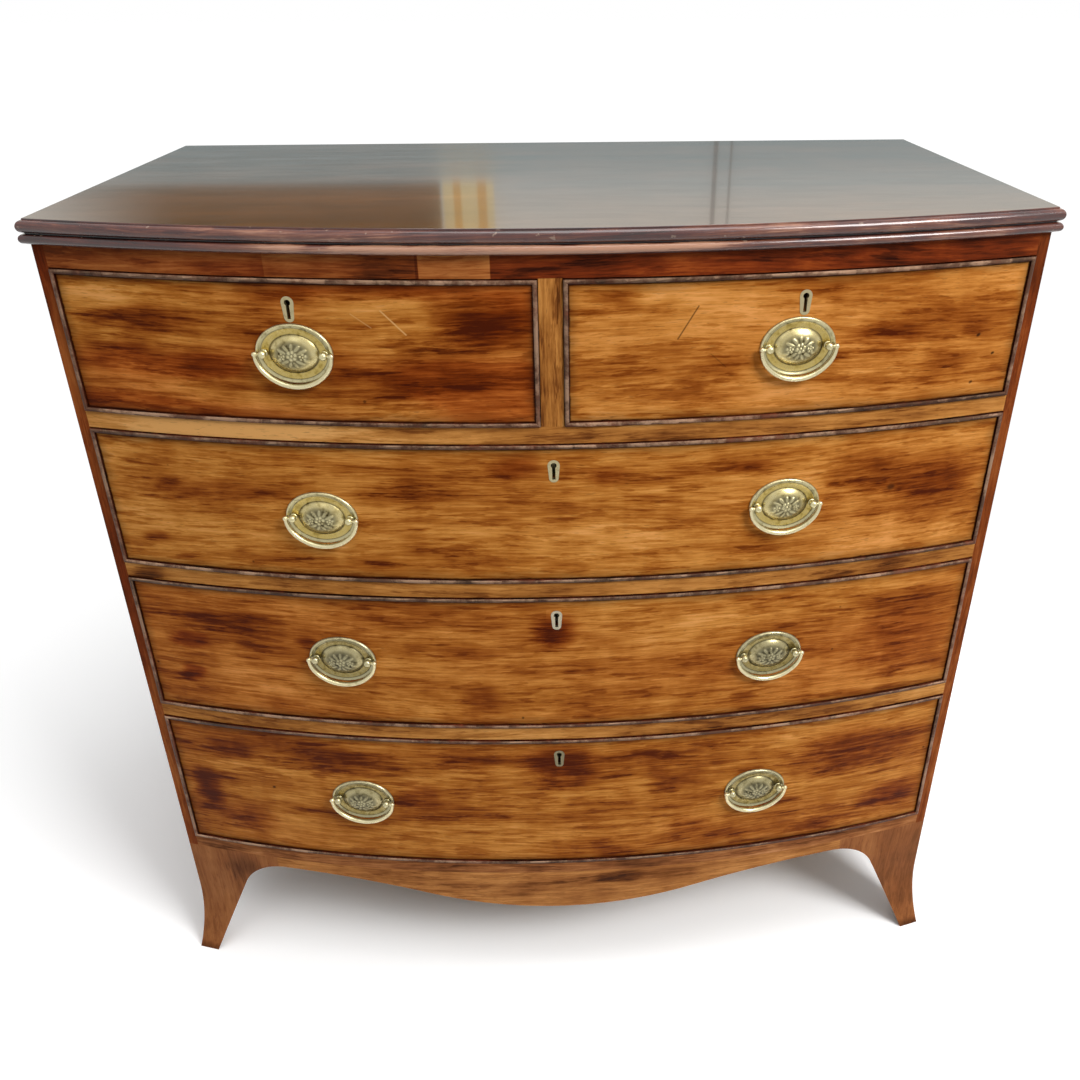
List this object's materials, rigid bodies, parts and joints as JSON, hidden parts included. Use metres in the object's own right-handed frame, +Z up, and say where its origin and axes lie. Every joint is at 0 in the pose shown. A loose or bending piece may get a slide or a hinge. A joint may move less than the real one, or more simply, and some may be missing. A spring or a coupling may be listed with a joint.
{
  "type": "bow front chest of drawers",
  "caption": "Bow front chest of drawers on splayed bracket feet: short drawers over long ones, reeded top edge, cock beads, oval bail handles and keyholes.",
  "frame": {"origin": "on the floor under the middle of the chest's outer box", "axes": "+Z up, the bowed front faces -Y, +X to the right of someone facing the front"},
  "size_m": [1.082, 0.5409, 1.085],
  "materials": {
    "mahogany_top": "french polished, dark and glossy",
    "mahogany_case": "polished, worn satin",
    "mahogany_base": "polished, faded satin",
    "mahogany_front": "figured veneer, polished",
    "mahogany_bead": "polished, dark",
    "oak_lining": "planed, unfinished",
    "oak_runner": "planed, unfinished",
    "softwood": "sawn and planed, aged, unfinished",
    "brass": "stamped and cast, aged polish",
    "brass_lock": "aged",
    "iron": "worn bright"
  },
  "bodies": {
    "carcase": {"top_board": "mahogany_top", "left_side_panel": "mahogany_case", "right_side_panel": "mahogany_case", "frieze_rail": "mahogany_case", "upper_drawer_rail": "mahogany_case", "middle_drawer_rail": "mahogany_case", "lower_drawer_rail": "mahogany_case", "short_drawer_divider": "mahogany_case", "centre_partition": "softwood", "carcase_bottom": "mahogany_case", "back_boards": "softwood", "rear_top_rail": "softwood", "drawer_runners_and_kickers": "oak_runner", "dust_boards": "softwood", "drawer_stops": "oak_runner", "front_apron": "mahogany_base", "side_aprons": "mahogany_base", "front_left_foot": "mahogany_base", "front_right_foot": "mahogany_base", "rear_left_foot": "mahogany_base", "rear_right_foot": "mahogany_base", "glue_blocks": "softwood"},
    "short_left_drawer": {"short_left_drawer_front": "mahogany_front", "short_left_drawer_cock_beads": "mahogany_bead", "short_left_drawer_box": "oak_lining", "short_left_drawer_handle_plates": "brass", "short_left_drawer_lock": "brass_lock"},
    "short_left_drawer_bail": {"short_left_drawer_bail": "brass"},
    "short_left_drawer_lock_bolt": {"short_left_drawer_lock_bolt": "iron"},
    "short_right_drawer": {"short_right_drawer_front": "mahogany_front", "short_right_drawer_cock_beads": "mahogany_bead", "short_right_drawer_box": "oak_lining", "short_right_drawer_handle_plates": "brass", "short_right_drawer_lock": "brass_lock"},
    "short_right_drawer_bail": {"short_right_drawer_bail": "brass"},
    "short_right_drawer_lock_bolt": {"short_right_drawer_lock_bolt": "iron"},
    "upper_long_drawer": {"upper_long_drawer_front": "mahogany_front", "upper_long_drawer_cock_beads": "mahogany_bead", "upper_long_drawer_box": "oak_lining", "upper_long_drawer_handle_plates": "brass", "upper_long_drawer_lock": "brass_lock"},
    "upper_long_drawer_left_bail": {"upper_long_drawer_left_bail": "brass"},
    "upper_long_drawer_right_bail": {"upper_long_drawer_right_bail": "brass"},
    "upper_long_drawer_lock_bolt": {"upper_long_drawer_lock_bolt": "iron"},
    "middle_long_drawer": {"middle_long_drawer_front": "mahogany_front", "middle_long_drawer_cock_beads": "mahogany_bead", "middle_long_drawer_box": "oak_lining", "middle_long_drawer_handle_plates": "brass", "middle_long_drawer_lock": "brass_lock"},
    "middle_long_drawer_left_bail": {"middle_long_drawer_left_bail": "brass"},
    "middle_long_drawer_right_bail": {"middle_long_drawer_right_bail": "brass"},
    "middle_long_drawer_lock_bolt": {"middle_long_drawer_lock_bolt": "iron"},
    "lower_long_drawer": {"lower_long_drawer_front": "mahogany_front", "lower_long_drawer_cock_beads": "mahogany_bead", "lower_long_drawer_box": "oak_lining", "lower_long_drawer_handle_plates": "brass", "lower_long_drawer_lock": "brass_lock"},
    "lower_long_drawer_left_bail": {"lower_long_drawer_left_bail": "brass"},
    "lower_long_drawer_right_bail": {"lower_long_drawer_right_bail": "brass"},
    "lower_long_drawer_lock_bolt": {"lower_long_drawer_lock_bolt": "iron"}
  },
  "joints": [
    {"name": "short_left_drawer_slide", "type": "slide", "parent": "carcase", "child": "short_left_drawer", "axis": [0, -1, 0], "range_m": [0, 0.33]},
    {"name": "short_left_drawer_bail_hinge", "type": "hinge", "parent": "short_left_drawer", "child": "short_left_drawer_bail", "pos_m": [-0.26275, -0.25097, 0.955], "axis": [-0.9921, 0.1253, 0], "range_deg": [0, 170]},
    {"name": "short_left_drawer_lock_bolt_throw", "type": "slide", "parent": "short_left_drawer", "child": "short_left_drawer_lock_bolt", "axis": [0, 0, 1], "range_m": [0, 0.007]},
    {"name": "short_right_drawer_slide", "type": "slide", "parent": "carcase", "child": "short_right_drawer", "axis": [0, -1, 0], "range_m": [0, 0.33]},
    {"name": "short_right_drawer_bail_hinge", "type": "hinge", "parent": "short_right_drawer", "child": "short_right_drawer_bail", "pos_m": [0.25573, -0.25184, 0.955], "axis": [-0.9925, -0.122, 0], "range_deg": [0, 170]},
    {"name": "short_right_drawer_lock_bolt_throw", "type": "slide", "parent": "short_right_drawer", "child": "short_right_drawer_lock_bolt", "axis": [0, 0, 1], "range_m": [0, 0.007]},
    {"name": "upper_long_drawer_slide", "type": "slide", "parent": "carcase", "child": "upper_long_drawer", "axis": [0, -1, 0], "range_m": [0, 0.33]},
    {"name": "upper_long_drawer_left_bail_hinge", "type": "hinge", "parent": "upper_long_drawer", "child": "upper_long_drawer_left_bail", "pos_m": [-0.25874, -0.25147, 0.761], "axis": [-0.9924, 0.1234, 0], "range_deg": [0, 170]},
    {"name": "upper_long_drawer_right_bail_hinge", "type": "hinge", "parent": "upper_long_drawer", "child": "upper_long_drawer_right_bail", "pos_m": [0.25874, -0.25147, 0.7665], "axis": [-0.9924, -0.1234, 0], "range_deg": [0, 170]},
    {"name": "upper_long_drawer_lock_bolt_throw", "type": "slide", "parent": "upper_long_drawer", "child": "upper_long_drawer_lock_bolt", "axis": [0, 0, 1], "range_m": [0, 0.007]},
    {"name": "middle_long_drawer_slide", "type": "slide", "parent": "carcase", "child": "middle_long_drawer", "axis": [0, -1, 0], "range_m": [0, 0.33]},
    {"name": "middle_long_drawer_left_bail_hinge", "type": "hinge", "parent": "middle_long_drawer", "child": "middle_long_drawer_left_bail", "pos_m": [-0.25874, -0.25147, 0.5636], "axis": [-0.9924, 0.1234, 0], "range_deg": [0, 170]},
    {"name": "middle_long_drawer_right_bail_hinge", "type": "hinge", "parent": "middle_long_drawer", "child": "middle_long_drawer_right_bail", "pos_m": [0.25874, -0.25147, 0.5564], "axis": [-0.9924, -0.1234, 0], "range_deg": [0, 170]},
    {"name": "middle_long_drawer_lock_bolt_throw", "type": "slide", "parent": "middle_long_drawer", "child": "middle_long_drawer_lock_bolt", "axis": [0, 0, 1], "range_m": [0, 0.007]},
    {"name": "lower_long_drawer_slide", "type": "slide", "parent": "carcase", "child": "lower_long_drawer", "axis": [0, -1, 0], "range_m": [0, 0.33]},
    {"name": "lower_long_drawer_left_bail_hinge", "type": "hinge", "parent": "lower_long_drawer", "child": "lower_long_drawer_left_bail", "pos_m": [-0.25874, -0.25147, 0.332], "axis": [-0.9924, 0.1234, 0], "range_deg": [0, 170]},
    {"name": "lower_long_drawer_right_bail_hinge", "type": "hinge", "parent": "lower_long_drawer", "child": "lower_long_drawer_right_bail", "pos_m": [0.25874, -0.25147, 0.332], "axis": [-0.9924, -0.1234, 0], "range_deg": [0, 170]},
    {"name": "lower_long_drawer_lock_bolt_throw", "type": "slide", "parent": "lower_long_drawer", "child": "lower_long_drawer_lock_bolt", "axis": [0, 0, 1], "range_m": [0, 0.007]}
  ]
}
